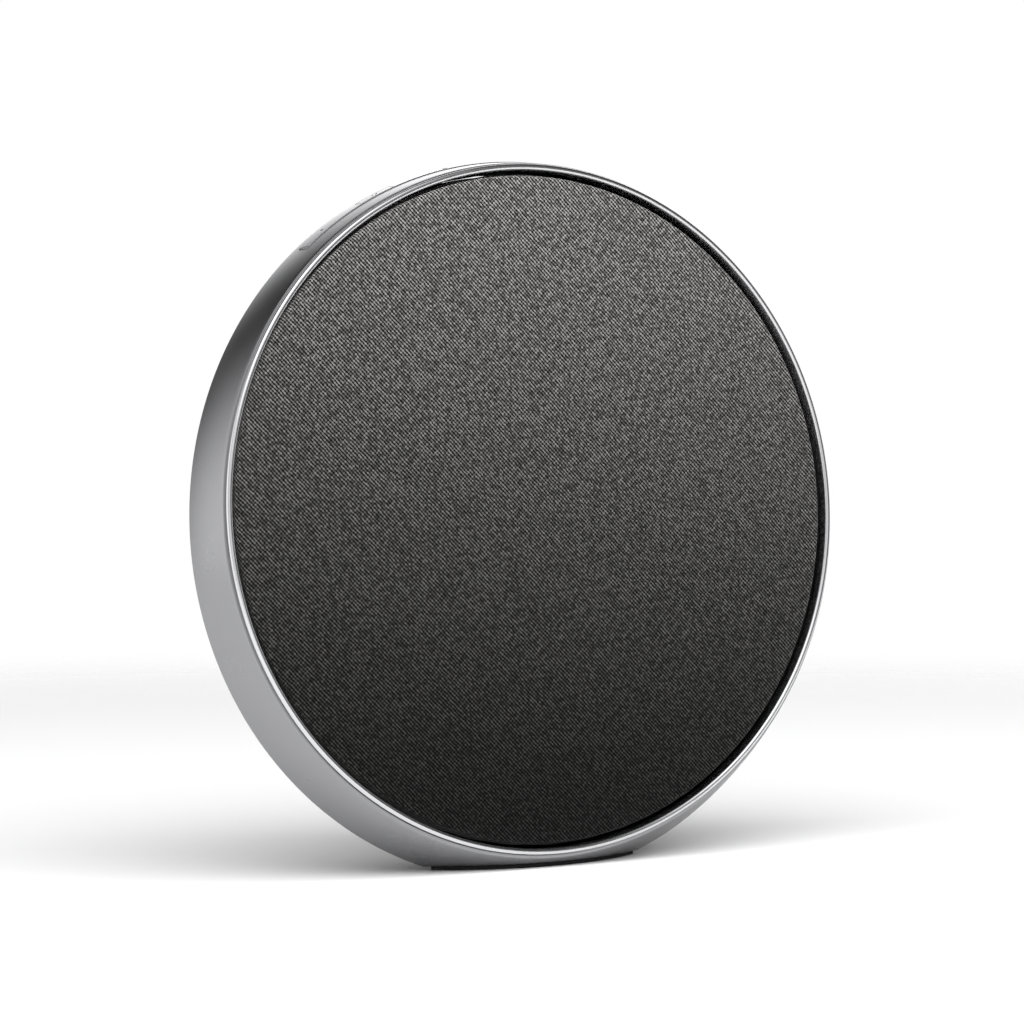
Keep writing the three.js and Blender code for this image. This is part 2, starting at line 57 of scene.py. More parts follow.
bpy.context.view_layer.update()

# The disc as designed, in millimetres. Pieces are drawn in the leaning frame:
# X right, Y from the front plane to the back, Z up the face, origin at the disc's centre.
disc = {
    "lean": math.radians(3.81),
    "faceRadius": 116.7,
    "beadRadius": 1.05,
    "widestRadius": 122.6,
    "bandDepth": 17.54,
    "bandBulge": 0.5,
    "bandDrop": 3.83,
    "flatBelowCentre": 119.94,
    "columns": 720,
}
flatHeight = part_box("outer_band")[0].z / mm
centreZ = flatHeight + disc["flatBelowCentre"]
centreY = (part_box("bezel_ring")[0].y / mm
           + (disc["faceRadius"] - disc["beadRadius"]) * math.sin(disc["lean"])
           + disc["beadRadius"] * (1 - math.cos(disc["lean"])))
leanFrame = Matrix.Translation((0, centreY, centreZ)) @ Matrix.Rotation(-disc["lean"], 4, "X")
toRow = Matrix.Scale(mm, 4) @ leanFrame
flare = (disc["widestRadius"] - disc["faceRadius"]) / disc["bandDepth"]
dropPerDepth = disc["bandDrop"] / disc["bandDepth"]


def bandPoint(angle, depth, out=0.0):  # angle in radians clockwise from the top
    share = min(depth / disc["bandDepth"], 1.0)
    radius = disc["faceRadius"] + flare * depth + disc["bandBulge"] * 4 * share * (1 - share) + out
    return Vector((radius * math.sin(angle), depth, radius * math.cos(angle) - dropPerDepth * depth))


def heightOf(point):  # above the floor, in millimetres
    return (leanFrame @ point).z


def raiseTo(point, height):  # straight up in the row frame, only if the point is below
    row = leanFrame @ point
    if row.z < height:
        row.z = height
    return leanFrame.inverted() @ row


# nodes, colours and materials

def addNode(tree, kind, inputs=None, **settings):
    node = tree.nodes.new(kind)
    for key, value in settings.items():
        setattr(node, key, value)
    for key, value in (inputs or {}).items():
        socket = node.inputs[key]
        if isinstance(value, bpy.types.NodeSocket):
            tree.links.new(value, socket)
        else:
            socket.default_value = value
    return node


def linear(hexText, alpha=1.0):
    channels = [int(hexText[i:i + 2], 16) / 255 for i in (1, 3, 5)]
    return (*[c / 12.92 if c <= 0.04045 else ((c + 0.055) / 1.055) ** 2.4 for c in channels], alpha)


def newMaterial(name, colour, **values):
    material = bpy.data.materials.new(name)
    material.use_nodes = True
    shader = material.node_tree.nodes["Principled BSDF"]
    shader.inputs["Base Color"].default_value = linear(colour)
    for key, value in values.items():
        shader.inputs[key].default_value = value
    return material, material.node_tree, shader


def grain(tree, shader, size, strength, detail=2.0, roughness=None, distance=0.05):
    # size is the grain's width in millimetres, distance its relief in millimetres
    place = addNode(tree, "ShaderNodeTexCoord").outputs["Object"]
    noise = addNode(tree, "ShaderNodeTexNoise",
                    {"Vector": place, "Scale": 1 / (size * mm), "Detail": detail, "Roughness": 0.6})
    bump = addNode(tree, "ShaderNodeBump",
                   {"Height": noise.outputs["Fac"], "Strength": strength, "Distance": distance * mm})
    tree.links.new(bump.outputs["Normal"], shader.inputs["Normal"])
    if roughness:
        spread = addNode(tree, "ShaderNodeTexNoise", {"Vector": place, "Scale": 60.0, "Detail": 3.0})
        fit = addNode(tree, "ShaderNodeMapRange",
                      {"Value": spread.outputs["Fac"], "From Min": 0.3, "From Max": 0.7,
                       "To Min": roughness[0], "To Max": roughness[1]})
        tree.links.new(fit.outputs["Result"], shader.inputs["Roughness"])
    return noise


satin = {"colour": "#9B9B9D", "roughness": (0.27, 0.31), "grain": 0.35}


def satinAluminium():
    # bead-blasted, then anodised: an even, soft reflection with no brush lines
    material, tree, shader = newMaterial("satinAnodisedAluminium", satin["colour"], Metallic=1.0)
    grain(tree, shader, satin["grain"], 0.05, roughness=satin["roughness"], distance=0.02)
    return material


polish = {"colour": "#DADADC", "roughness": (0.2, 0.24)}


def polishedAluminium():
    # turned on a diamond tool and clear anodised: a bright line with soft ends
    material, tree, shader = newMaterial("polishedAluminium", polish["colour"], Metallic=1.0)
    grain(tree, shader, 0.6, 0.02, roughness=polish["roughness"], distance=0.01)
    return material


weave = {"pitch": 0.72, "light": "#8A8987", "dark": "#0D0D0D", "relief": 0.2, "slant": 0.68}


def wovenCloth():
    # plain weave of a light melange thread over a black one: light dots on a dark ground,
    # a little drawn out along one diagonal
    material, tree, shader = newMaterial("wovenAcousticCloth", weave["dark"], Roughness=0.9)
    shader.inputs["Specular IOR Level"].default_value = 0.2
    shader.inputs["Sheen Weight"].default_value = 0.1
    shader.inputs["Sheen Roughness"].default_value = 0.5
    place = addNode(tree, "ShaderNodeUVMap", uv_map="cloth").outputs["UV"]

    def maths(operation, a, b=0.0, c=0.0):
        return addNode(tree, "ShaderNodeMath", {0: a, 1: b, 2: c}, operation=operation).outputs[0]

    def between(value, low, high, fromLow=0.0, fromHigh=1.0):
        return addNode(tree, "ShaderNodeMapRange",
                       {"Value": value, "From Min": fromLow, "From Max": fromHigh,
                        "To Min": low, "To Max": high}).outputs["Result"]

    wobble = addNode(tree, "ShaderNodeTexNoise", {"Vector": place, "Scale": 0.3, "Detail": 3.0})
    centred = addNode(tree, "ShaderNodeVectorMath", {0: wobble.outputs["Color"], 1: (0.5, 0.5, 0.5)},
                      operation="SUBTRACT")
    bent = addNode(tree, "ShaderNodeVectorMath",
                   {0: centred.outputs["Vector"], 1: (0.5, 0.5, 0.5), 2: place}, operation="MULTIPLY_ADD")
    split = addNode(tree, "ShaderNodeSeparateXYZ", {0: bent.outputs["Vector"]})
    across = maths("DIVIDE", split.outputs["X"], weave["pitch"])
    along = maths("DIVIDE", split.outputs["Y"], weave["pitch"])
    falling, rising = maths("ADD", across, along), maths("SUBTRACT", across, along)
    fallingWave = maths("COSINE", maths("MULTIPLY", falling, math.pi))
    risingWave = maths("COSINE", maths("MULTIPLY", rising, math.pi))
    weaveHeight = maths("MULTIPLY_ADD", fallingWave, weave["slant"],
                        maths("MULTIPLY", risingWave, 1 - weave["slant"]))
    streakPlace = addNode(tree, "ShaderNodeCombineXYZ", {0: falling, 1: maths("MULTIPLY", rising, 0.35)})
    streak = addNode(tree, "ShaderNodeTexNoise",
                     {"Vector": streakPlace.outputs[0], "Scale": 0.9, "Detail": 1.0})
    height = maths("ADD", weaveHeight, between(streak.outputs["Fac"], -0.45, 0.45, 0.3, 0.7))
    cell = addNode(tree, "ShaderNodeCombineXYZ",
                   {0: maths("ROUND", maths("MULTIPLY", falling, 0.5)),
                    1: maths("ROUND", maths("MULTIPLY", rising, 0.5))})
    speckle = addNode(tree, "ShaderNodeTexWhiteNoise", {"Vector": cell.outputs[0]}, noise_dimensions="2D")
    slub = addNode(tree, "ShaderNodeTexNoise", {"Vector": place, "Scale": 0.6, "Detail": 3.0})
    tone = maths("MULTIPLY", between(speckle.outputs["Value"], 0.45, 1.4),
                 between(slub.outputs["Fac"], 0.82, 1.12, 0.35, 0.65))
    amount = maths("MULTIPLY", between(height, 0.0, 1.0, -0.45, 0.95), tone)
    colour = addNode(tree, "ShaderNodeMix",
                     {"Factor": amount, 6: linear(weave["dark"]), 7: linear(weave["light"])},
                     data_type="RGBA", clamp_factor=True)
    tree.links.new(colour.outputs[2], shader.inputs["Base Color"])
    bump = addNode(tree, "ShaderNodeBump",
                   {"Height": height, "Strength": 0.6, "Distance": weave["relief"] * mm * 0.5})
    tree.links.new(bump.outputs["Normal"], shader.inputs["Normal"])
    return material


def mouldedPlastic(name, colour, roughness, size, strength):
    # moulded ABS with a fine spark-eroded texture
    material, tree, shader = newMaterial(name, colour, Roughness=roughness)
    grain(tree, shader, size, strength, detail=3.0,
          roughness=(roughness - 0.05, roughness + 0.05), distance=0.06)
    return material


def plainMaterial(name, colour, roughness, size=0.5, strength=0.1, **values):
    material, tree, shader = newMaterial(name, colour, Roughness=roughness, **values)
    grain(tree, shader, size, strength, roughness=(roughness - 0.04, roughness + 0.04))
    return material


materials = {
    "satin_aluminium": satinAluminium(),
    "polished_aluminium": polishedAluminium(),
    "charcoal_cloth": wovenCloth(),
    "black_plastic": mouldedPlastic("mouldedBlackAbs", "#1A1A1C", 0.48, 0.5, 0.35),
    "foot_rubber": plainMaterial("mouldedFootRubber", "#0C0C0D", 0.8, 0.3, 0.2),
    "surround_rubber": plainMaterial("butylRubber", "#141415", 0.55, 0.8, 0.1),
    "paper_cone": plainMaterial("pressedPaperPulp", "#2A2A2C", 0.8, 0.6, 0.4),
    "spider_cloth": plainMaterial("resinedCotton", "#8A7440", 0.8, 0.8, 0.4),
    "voice_coil_winding": plainMaterial("enamelledCopperWire", "#B5673A", 0.35, Metallic=1.0),
    "zinc_steel": plainMaterial("zincPlatedSteel", "#A6A9AC", 0.3, 0.8, 0.08, Metallic=1.0),
    "magnet": plainMaterial("sinteredMagnet", "#2C2C2E", 0.45, 0.4, 0.2),
    "silk_dome": plainMaterial("coatedSilk", "#18181A", 0.6, 0.3, 0.3),
    "circuit_board": plainMaterial("solderMaskedBoard", "#143C26", 0.4, 1.0, 0.1),
    "heat_sink_aluminium": plainMaterial("extrudedAluminium", "#8E9092", 0.38, 0.6, 0.1, Metallic=1.0),
    "light_pipe": plainMaterial("frostedPolycarbonate", "#D9E0E4", 0.3, 0.5, 0.05),
}
print("materials ready")


# mesh helpers

def newObject(name, mesh, slotName):
    piece = bpy.data.objects.new(name, mesh)
    scene.collection.objects.link(piece)
    mesh.materials.clear()
    mesh.materials.append(materials[slotName])
    return piece


def smoothBy(mesh, degrees):
    mesh.polygons.foreach_set("use_smooth", [True] * len(mesh.polygons))
    mesh.set_sharp_from_angle(angle=math.radians(degrees))


def settle(name, source, slotName, body, nodes, sharp=35):
    # source is a bmesh in the leaning frame, in millimetres; a piece given no body gets no parent
    bmesh.ops.remove_doubles(source, verts=source.verts, dist=1e-4)
    bmesh.ops.recalc_face_normals(source, faces=source.faces)
    mesh = bpy.data.meshes.new(name)
    source.to_mesh(mesh)
    source.free()
    mesh.transform(toRow)
    smoothBy(mesh, sharp)
    piece = newObject(name, mesh, slotName)
    if body:
        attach(piece, body)
    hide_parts(*nodes)
    return piece


def ringMesh(loops):
    # joins equal rows of points into a closed ring of faces
    made = bmesh.new()
    rows = [[made.verts.new(point) for point in loop] for loop in loops]
    size = len(rows[0])
    for i, row in enumerate(rows):
        after = rows[(i + 1) % len(rows)]
        for j in range(size):
            k = (j + 1) % size
            corners = [row[j], row[k], after[k], after[j]]
            made.faces.new(corners)
    return made


def arc(centre, radius, start, end, steps):
    return [(centre[0] + radius * math.cos(math.radians(start + (end - start) * i / steps)),
             centre[1] + radius * math.sin(math.radians(start + (end - start) * i / steps)))
            for i in range(steps + 1)]


def smoothLine(points, steps):  # Catmull-Rom through the points
    ends = [tuple(2 * a - b for a, b in zip(points[0], points[1]))]
    tail = [tuple(2 * a - b for a, b in zip(points[-1], points[-2]))]
    p = ends + list(points) + tail
    line = []
    for i in range(1, len(p) - 2):
        for s in range(steps):
            t = s / steps
            line.append(tuple(
                0.5 * (2 * b + (c - a) * t + (2 * a - 5 * b + 4 * c - d) * t * t
                       + (3 * b - a - 3 * c + d) * t ** 3)
                for a, b, c, d in zip(p[i - 1], p[i], p[i + 1], p[i + 2])))
    return line + [points[-1]]


# Geometry Nodes: spins a row of profile points round the disc's axis
def makeSpinTree():
    tree = bpy.data.node_groups.new("spinProfile", "GeometryNodeTree")
    face = tree.interface
    face.new_socket(name="Profile", in_out="INPUT", socket_type="NodeSocketGeometry")
    face.new_socket(name="Profile Points", in_out="INPUT", socket_type="NodeSocketInt")
    face.new_socket(name="Columns", in_out="INPUT", socket_type="NodeSocketInt")
    face.new_socket(name="Material", in_out="INPUT", socket_type="NodeSocketMaterial")
    face.new_socket(name="Mesh", in_out="OUTPUT", socket_type="NodeSocketGeometry")
    entry = addNode(tree, "NodeGroupInput").outputs
    stepsRound = addNode(tree, "ShaderNodeMath", {0: entry["Columns"], 1: 1.0}, operation="ADD")
    grid = addNode(tree, "GeometryNodeMeshGrid",
                   {"Vertices X": stepsRound.outputs[0], "Vertices Y": entry["Profile Points"]})
    index = addNode(tree, "GeometryNodeInputIndex").outputs[0]
    ratio = addNode(tree, "ShaderNodeMath", {0: index, 1: entry["Profile Points"]}, operation="DIVIDE")
    column = addNode(tree, "ShaderNodeMath", {0: ratio.outputs[0]}, operation="FLOOR")
    row = addNode(tree, "ShaderNodeMath", {0: index, 1: entry["Profile Points"]}, operation="MODULO")
    share = addNode(tree, "ShaderNodeMath", {0: column.outputs[0], 1: entry["Columns"]}, operation="DIVIDE")
    turn = addNode(tree, "ShaderNodeMath", {0: share.outputs[0], 1: 2 * math.pi}, operation="MULTIPLY")
    position = addNode(tree, "GeometryNodeInputPosition").outputs[0]
    sample = addNode(tree, "GeometryNodeSampleIndex",
                     {"Geometry": entry["Profile"], "Value": position, "Index": row.outputs[0]},
                     data_type="FLOAT_VECTOR", domain="POINT")
    turned = addNode(tree, "ShaderNodeVectorRotate",
                     {"Vector": sample.outputs[0], "Axis": (0, 1, 0), "Angle": turn.outputs[0]},
                     rotation_type="AXIS_ANGLE")
    moved = addNode(tree, "GeometryNodeSetPosition",
                    {"Geometry": grid.outputs[0], "Position": turned.outputs[0]})
    merged = addNode(tree, "GeometryNodeMergeByDistance", {"Geometry": moved.outputs[0], "Distance": 1e-4})
    painted = addNode(tree, "GeometryNodeSetMaterial",
                      {"Geometry": merged.outputs[0], "Material": entry["Material"]})
    real = addNode(tree, "GeometryNodeRealizeInstances", {"Geometry": painted.outputs[0]})
    addNode(tree, "NodeGroupOutput", {"Mesh": real.outputs[0]})
    return tree


spinTree = makeSpinTree()


def takeMesh(holder, name):
    # the evaluated result as a plain mesh; the helper object goes away
    scene.collection.objects.link(holder)
    bpy.context.view_layer.update()
    graph = bpy.context.evaluated_depsgraph_get()
    mesh = bpy.data.meshes.new_from_object(holder.evaluated_get(graph))
    mesh.name = name
    bpy.data.objects.remove(holder)
    return mesh


def setInputs(modifier, tree, values):
    for item in tree.interface.items_tree:
        if item.item_type == "SOCKET" and item.in_out == "INPUT" and item.name in values:
            modifier[item.identifier] = values[item.name]


def spin(profile, columns, slotName="black_plastic", closed=True):
    # profile points are (radius, depth); returns a bmesh in the leaning frame
    points = list(profile) + [profile[0]] if closed else list(profile)
    line = bpy.data.meshes.new("profile")
    line.from_pydata([(r, y, 0) for r, y in points], [], [])
    holder = bpy.data.objects.new("spinning", line)
    modifier = holder.modifiers.new("spin", "NODES")
    modifier.node_group = spinTree
    setInputs(modifier, spinTree, {"Profile Points": len(points), "Columns": columns,
                                   "Material": materials[slotName]})
    mesh = takeMesh(holder, "spun")
    made = bmesh.new()
    made.from_mesh(mesh)
    bpy.data.meshes.remove(mesh)
    return made


def flatPlate(outlines, low, high, edge):
    # a plate in X and Y with holes and softly bevelled edges, thick from low to high in Z
    curve = bpy.data.curves.new("plate", "CURVE")
    curve.dimensions = "2D"
    curve.fill_mode = "BOTH"
    curve.extrude = (high - low) / 2 - edge
    curve.bevel_depth = edge
    curve.bevel_resolution = 2
    curve.offset = -edge
    for outline in outlines:
        spline = curve.splines.new("POLY")
        spline.points.add(len(outline) - 1)
        for point, (x, y) in zip(spline.points, outline):
            point.co = (x, y, 0, 1)
        spline.use_cyclic_u = True
    mesh = takeMesh(bpy.data.objects.new("plate", curve), "plate")
    made = bmesh.new()
    made.from_mesh(mesh)
    bpy.data.meshes.remove(mesh)
    bmesh.ops.remove_doubles(made, verts=made.verts, dist=1e-4)
    bmesh.ops.translate(made, verts=made.verts, vec=(0, 0, (low + high) / 2))
    return made


def roundedBox(x0, x1, y0, y1, corner, steps=8):
    outline = []
    for cx, cy, start in ((x1 - corner, y0 + corner, -90), (x1 - corner, y1 - corner, 0),
                          (x0 + corner, y1 - corner, 90), (x0 + corner, y0 + corner, 180)):
        outline += arc((cx, cy), corner, start, start + 90, steps)
    return outline


crown = {"strip": (9.6, 15.0), "halfAngle": 42.7, "proud": 0.3, "corner": 1.6, "gap": 0.15,
         "keyInset": 0.9, "keyHalfAngle": 3.3, "keyPitch": 13.5, "reference": 120.9}


def bendOnBand(made):
    # X becomes arc length round the crown, Y the depth, Z the height over the band
    limit = max(abs(v.co.x) for v in made.verts)
    step = crown["reference"] * math.radians(0.75)
    count = int(limit / step)
    for i in range(-count, count + 1):
        geometry = list(made.verts) + list(made.edges) + list(made.faces)
        bmesh.ops.bisect_plane(made, geom=geometry, plane_co=(i * step, 0, 0), plane_no=(1, 0, 0))
    for vertex in made.verts:
        angle = vertex.co.x / crown["reference"]
        vertex.co = bandPoint(angle, vertex.co.y, vertex.co.z)
    return made


# the flared band

band = {"front": 1.7, "wall": 1.2, "softEdge": 0.5}


def bandColumns():
    # even columns, and one exactly at each end of the flat
    top = flatHeight - centreZ + disc["bandDepth"] * (
        dropPerDepth * math.cos(disc["lean"]) + math.sin(disc["lean"]))
    corner = math.acos(top / (disc["widestRadius"] * math.cos(disc["lean"])))
    angles = [2 * math.pi * i / disc["columns"] for i in range(disc["columns"])]
    return sorted(angles + [corner, 2 * math.pi - corner])


def flatStart(angle):
    # depth at which the band meets the flat underside, or its full depth
    near, far = 0.0, disc["bandDepth"]
    if heightOf(bandPoint(angle, far)) > flatHeight:
        return far
    for _ in range(40):
        half = (near + far) / 2
        if heightOf(bandPoint(angle, half)) > flatHeight:
            near = half
        else:
            far = half
    return far


def outerBand():
    depth = disc["bandDepth"]
    front, soft = band["front"], band["softEdge"]
    loops = []
    for angle in bandColumns():
        turn = flatStart(angle)
        cone = [front + 0.25 + (turn - soft - front - 0.25) * i / 16 for i in range(17)]
        under = [turn + (depth - turn) * i / 5 for i in range(1, 6)]
        loop = [bandPoint(angle, front + 0.4, -band["wall"]), bandPoint(angle, front, -0.9),
                bandPoint(angle, front, -0.25), bandPoint(angle, front + 0.07, -0.07)]
        loop += [bandPoint(angle, y) for y in cone]
        before, corner = bandPoint(angle, turn - soft), bandPoint(angle, turn)
        after = raiseTo(bandPoint(angle, min(turn + soft, depth)), flatHeight)
        loop.append(before * 0.25 + corner * 0.5 + after * 0.25)
        loop.append(raiseTo(after, flatHeight))
        loop += [raiseTo(bandPoint(angle, max(y, min(turn + soft, depth))), flatHeight) for y in under]
        for back, inward in ((0.42, 0.2), (0.76, 0.7), (0.98, 1.2), (1.06, 1.9), (1.06, 3.4), (0.7, 3.7)):
            point = bandPoint(angle, depth, -inward)
            point.y += back
            loop.append(raiseTo(point, flatHeight + min(1.2, max(0.0, inward - 1.9) * 0.8)))
        inner = bandPoint(angle, depth, -3.7)
        inner.y += 0.36
        loop.append(raiseTo(inner, flatHeight + band["wall"]))
        loop.append(raiseTo(bandPoint(angle, depth, -band["wall"]), flatHeight + band["wall"]))
        loop.append(raiseTo(bandPoint(angle, depth / 2, -band["wall"]), flatHeight + band["wall"]))
        loops.append(loop)
    return ringMesh(loops)


def stripOutline(grow, steps=8):
    front, rear = crown["strip"]
    half = crown["reference"] * math.radians(crown["halfAngle"])
    return roundedBox(-half - grow, half + grow, front - grow, rear + grow, crown["corner"] + grow, steps)


def cutWith(made, cutters):
    # exact booleans on bmeshes, in the leaning frame
    def asObject(name, source):
        bmesh.ops.remove_doubles(source, verts=source.verts, dist=1e-4)
        bmesh.ops.recalc_face_normals(source, faces=source.faces)
        mesh = bpy.data.meshes.new(name)
        source.to_mesh(mesh)
        source.free()
        return bpy.data.objects.new(name, mesh)

    holder = asObject("cutting", made)
    helpers = []
    for i, (cutter, kind) in enumerate(cutters):
        helper = asObject(f"cutter{i}", cutter)
        scene.collection.objects.link(helper)
        helpers.append(helper)
        modifier = holder.modifiers.new(f"cut{i}", "BOOLEAN")
        modifier.object = helper
        modifier.operation = kind
        modifier.solver = "EXACT"
    mesh = takeMesh(holder, "cut")
    for helper in helpers:
        bpy.data.objects.remove(helper)
    result = bmesh.new()
    result.from_mesh(mesh)
    bpy.data.meshes.remove(mesh)
    return result


bandMesh = outerBand()
slotCutter = bendOnBand(flatPlate([stripOutline(crown["gap"])], -4, 4, 0.01))
bandMesh = cutWith(bandMesh, [(slotCutter, "DIFFERENCE")])
settle("outerBand", bandMesh, "satin_aluminium", "chassis", ["outer_band"], sharp=32)
print("band ready")


# bezel and cloth

bezel = {"skirt": 0.8, "rear": 8.0, "seam": 0.12, "columns": 720}


def bezelProfile():
    outer, bead = disc["faceRadius"], disc["beadRadius"]
    inner = outer - 2 * bead
    back = band["front"] - bezel["seam"]
    return ([(inner, bezel["rear"])] + arc((outer - bead, bead), bead, 180, 360, 24)
            + [(outer, back - 0.12), (outer - 0.12, back), (inner + bezel["skirt"], back),
               (inner + bezel["skirt"], bezel["rear"])])


settle("bezelRing", spin(bezelProfile(), bezel["columns"], "polished_aluminium"), "polished_aluminium",
       "chassis", ["bezel_ring"], sharp=40)

cloth = {"radius": 113.0, "recess": 2.5, "thickness": 0.7, "edge": 0.9, "skirt": 3.5, "columns": 360}


def clothPiece():
    radius, front, thick, edge = cloth["radius"], cloth["recess"], cloth["thickness"], cloth["edge"]
    rings = [radius * i / 24 for i in range(1, 24)]
    face = [(0.0, front)] + [(r, front) for r in rings if r < radius - edge - 0.5]
    wrap = arc((radius - edge, front + edge), edge, -90, 0, 8)
    rim = [(radius, front + cloth["skirt"]), (radius - thick, front + cloth["skirt"])]
    back = arc((radius - edge, front + edge), edge - thick, 0, -90, 4) + [(0.0, front + thick)]
    made = spin(face + wrap + rim + back, cloth["columns"], "charcoal_cloth", closed=False)
    layer = made.loops.layers.uv.new("cloth")
    for polygon in made.faces:
        for loop in polygon.loops:
            x, y, z = loop.vert.co
            reach = max(math.hypot(x, z), 1e-6)
            over = 1 + max(0.0, y - front) / reach  # the weave runs on over the edge
            loop[layer].uv = (x * over, z * over)
    return settle("grilleCloth", made, "charcoal_cloth", "chassis", ["grille_fabric"], sharp=50)


clothObject = clothPiece()
print("bezel and cloth ready")


# crown strip and keys

def keyOutline(angle, grow, corner=0.7):
    front, rear = crown["strip"][0] + crown["keyInset"], crown["strip"][1] - crown["keyInset"]
    middle = crown["reference"] * math.radians(angle)
    half = crown["reference"] * math.radians(crown["keyHalfAngle"])
    return roundedBox(middle - half - grow, middle + half + grow,
                      front - grow, rear + grow, corner + grow, 6)


def circleOutline(angle, radius, steps=20):
    middle = (crown["strip"][0] + crown["strip"][1]) / 2
    across = crown["reference"] * math.radians(angle)
    return arc((across, middle), radius, 0, 360 * (1 - 1 / steps), steps - 1)


keyNames = ["pairing", "volume_down", "play_pause", "volume_up", "microphone_mute"]
keyAngles = {name: (i - 2) * crown["keyPitch"] for i, name in enumerate(keyNames)}
lightAngle, microphoneAngle = 33.5, 38
middleDepth = (crown["strip"][0] + crown["strip"][1]) / 2
lightMiddle = crown["reference"] * math.radians(lightAngle)

holes = [keyOutline(angle, 0.18) for angle in keyAngles.values()]
holes += [circleOutline(side * microphoneAngle, 0.5) for side in (-1, 1)]
holes.append(roundedBox(lightMiddle - 2.6, lightMiddle + 2.6,
                        middleDepth - 0.75, middleDepth + 0.75, 0.7, 6))
strip = bendOnBand(flatPlate([stripOutline(0)] + holes, -1.0, crown["proud"], 0.16))
settle("controlStrip", strip, "satin_aluminium", "chassis", ["control_strip"], sharp=40)

pipe = bendOnBand(flatPlate(
    [roundedBox(lightMiddle - 2.45, lightMiddle + 2.45, middleDepth - 0.6, middleDepth + 0.6, 0.58, 8)],
    -2.4, crown["proud"], 0.1))
settle("statusLightPipe", pipe, "light_pipe", "chassis", ["status_light_pipe"], sharp=40)


def bar(angle, alongX, length, width=0.5):
    middle = crown["reference"] * math.radians(angle)
    x, y = (length / 2, width / 2) if alongX else (width / 2, length / 2)
    return roundedBox(middle - x, middle + x, middleDepth - y, middleDepth + y, width / 2 - 0.01, 4)


def keyPiece(name):
    angle = keyAngles[name]
    made = bendOnBand(flatPlate([keyOutline(angle, 0)], -1.7, crown["proud"] - 0.02, 0.14))
    low, high = crown["proud"] - 0.2, crown["proud"] + 0.13
    marks = []
    if name == "volume_down":
        marks = [bar(angle, True, 2.0)]
    elif name == "volume_up":
        marks = [bar(angle, True, 2.0), bar(angle, False, 2.0)]
    elif name == "play_pause":
        marks = [[(x, y + middleDepth) for x, y in ((-0.8, -0.9), (0.9, 0.0), (-0.8, 0.9))]]
    elif name == "pairing":
        marks = [circleOutline(angle - 0.4, 0.3, 12), circleOutline(angle + 0.4, 0.3, 12)]
    elif name == "microphone_mute":
        marks = [circleOutline(angle, 0.45, 16)]
    for outline in marks:
        mark = bendOnBand(flatPlate([outline], low, high, 0.05))
        mesh = bpy.data.meshes.new("mark")
        mark.to_mesh(mesh)
        mark.free()
        made.from_mesh(mesh)
        bpy.data.meshes.remove(mesh)
    parts = name.split("_")
    title = parts[0] + "".join(word.capitalize() for word in parts[1:]) + "Key"
    settle(title, made, "satin_aluminium", name + "_key", ["key_" + name], sharp=40)


for keyName in keyNames:
    keyPiece(keyName)
print("crown ready")


# feet

foot = {"inset": 0.965, "softEdge": 0.2, "clearance": 0.02}


def frontFoot():
    # follows the flat's own outline, a little inside it
    outline = []
    for angle in bandColumns():
        start = flatStart(angle)
        if start < disc["bandDepth"]:
            row = leanFrame @ bandPoint(angle, start)
            outline.append((row.x, row.y))
    outline.sort()
    rear = (leanFrame @ raiseTo(bandPoint(math.pi, disc["bandDepth"]), flatHeight)).y
    half = max(x for x, y in outline)
    outline += [(half, rear), (-half, rear)]
    middle = sum(y for x, y in outline) / len(outline)
    inset = foot["inset"]
    outline = [(x * inset, middle + (y - middle) * inset) for x, y in outline]
    made = flatPlate([outline], 0, flatHeight - foot["clearance"], foot["softEdge"])
    made.transform(leanFrame.inverted())
    return made


settle("frontFootPad", frontFoot(), "foot_rubber", "chassis", ["front_foot_pad"], sharp=40)


# rear cover

cover = {"edge": 118.4, "front": 16.9, "wall": 2.2, "depth": 56.0, "heelHalf": 22.0, "heelCentre": 18.0,
         "heelOval": 0.9, "pocketFloor": 46.3, "pocketZ": -78.0, "radiator": 39.5, "screwRadius": 88.0,
         "screwSeat": 38.8, "columns": 240}
screwPlaces = [(cover["screwRadius"] * math.cos(math.radians(a)),
                cover["screwRadius"] * math.sin(math.radians(a)))
               for a in (45, 135, 225, 315)]


def discMesh(radius, low, high, x=0.0, z=0.0, columns=64):
    made = spin([(0.0, low), (radius, low), (radius, high), (0.0, high)], columns, closed=False)
    bmesh.ops.translate(made, verts=made.verts, vec=(x, 0, z))
    return made


def prism(outline, low, high, edge=0.01):
    # outline in X and Z, thick along the depth
    made = flatPlate([outline], low, high, edge)
    for vertex in made.verts:
        x, y, z = vertex.co
        vertex.co = (x, z, y)
    bmesh.ops.reverse_faces(made, faces=made.faces)
    return made


